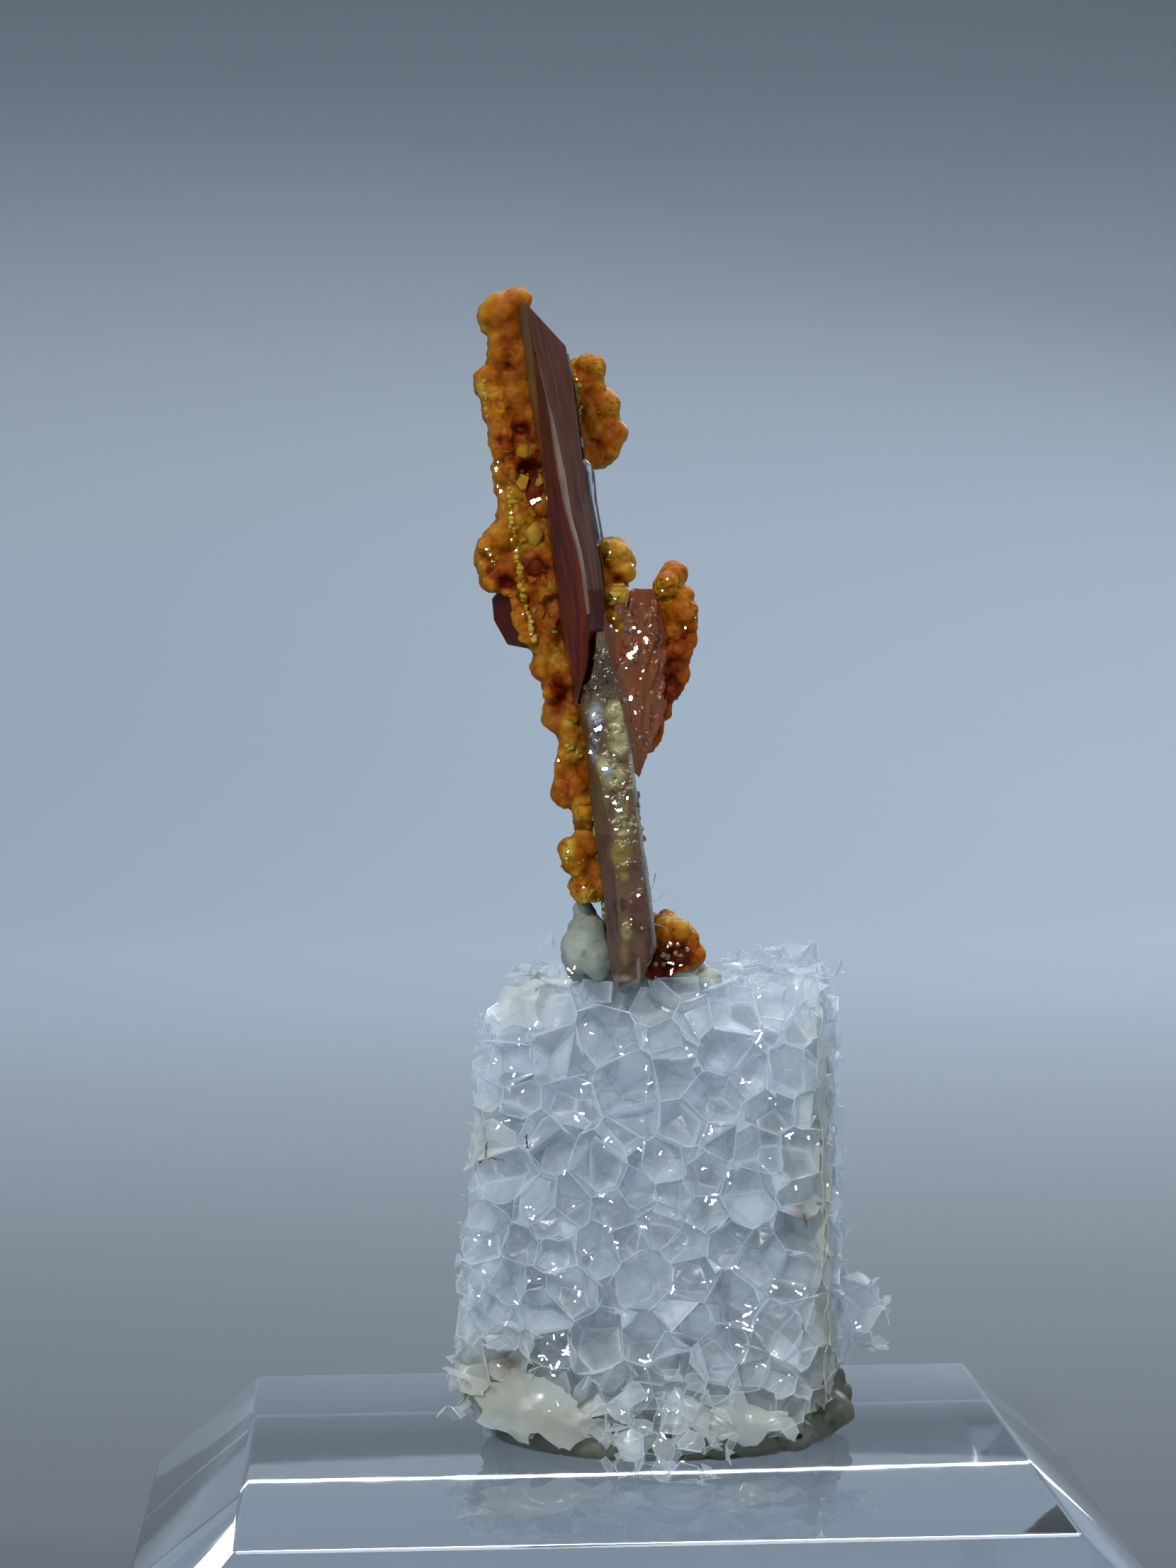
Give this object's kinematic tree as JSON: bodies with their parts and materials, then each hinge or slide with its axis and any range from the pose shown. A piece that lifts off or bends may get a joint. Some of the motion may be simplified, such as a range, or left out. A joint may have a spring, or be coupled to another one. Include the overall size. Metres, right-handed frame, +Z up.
{
  "type": "mimetite on wulfenite specimen on a display block",
  "caption": "Thumbnail of orange mimetite on thin wulfenite tablets, puttied onto a plug of cut plastic foam that stands on a clear bevelled block.",
  "frame": {"origin": "middle of the display block's underside", "axes": "+Z up from the block to the crystals' tip; +X to the right and -Y towards the viewer in the picture's view, which looks at the tablets edge-on"},
  "size_m": [0.0318, 0.0318, 0.0489],
  "materials": {
    "clear_acrylic": "polished",
    "mounting_putty": "matte",
    "plastic_foam": "satin",
    "wulfenite": "gloss",
    "mimetite": "satin"
  },
  "bodies": {
    "root": {"display_block": "clear_acrylic", "putty_base": "mounting_putty", "foam_plug": "plastic_foam", "putty_foot": "mounting_putty", "wulfenite_crystals": "wulfenite", "mimetite_left_crust": "mimetite", "mimetite_left_patch": "mimetite", "mimetite_right_upper": "mimetite", "mimetite_right_middle": "mimetite", "mimetite_right_lower": "mimetite", "mimetite_base": "mimetite"}
  },
  "joints": []
}
